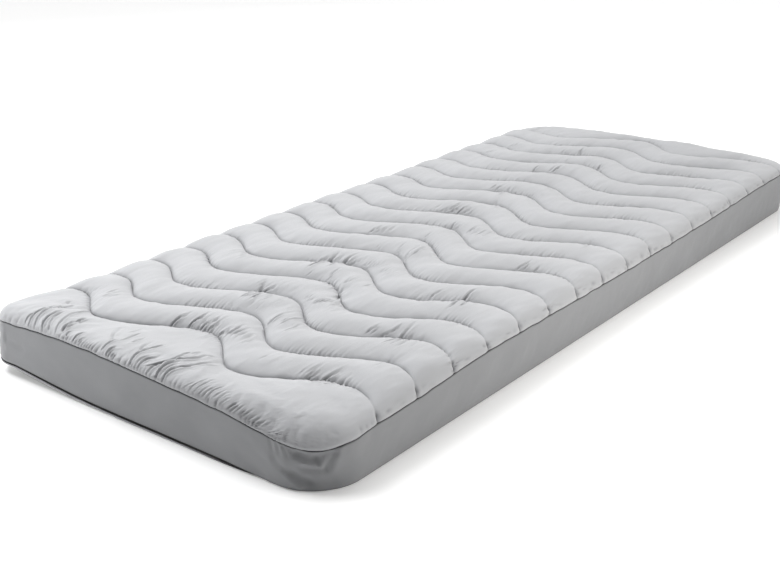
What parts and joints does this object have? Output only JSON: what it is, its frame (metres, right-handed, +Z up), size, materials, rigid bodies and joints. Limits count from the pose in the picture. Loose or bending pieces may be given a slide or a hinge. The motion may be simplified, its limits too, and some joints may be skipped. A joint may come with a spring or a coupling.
{
  "type": "wave-quilted mattress cover on a mattress",
  "caption": "Filled, wave-quilted mattress cover with a plain skirt, fitted over a thin single mattress and lying flat.",
  "frame": {"origin": "middle of the underside, on the surface that the mattress lies on", "axes": "+Z up, +Y along the bed from the foot end to the head end, +X across the bed"},
  "size_m": [0.8052, 1.906, 0.1275],
  "materials": {
    "quilted_cloth": "soft brushed microfibre, quilted over polyester filling, light cool grey",
    "skirt_cloth": "smooth fine jersey, mid grey",
    "hem_elastic": "ribbed elastic band, dark grey",
    "mattress_ticking": "plain off-white ticking"
  },
  "bodies": {
    "root": {"mattress": "mattress_ticking", "hem_band": "hem_elastic", "skirt": "skirt_cloth", "quilted_top": "quilted_cloth"}
  },
  "joints": []
}
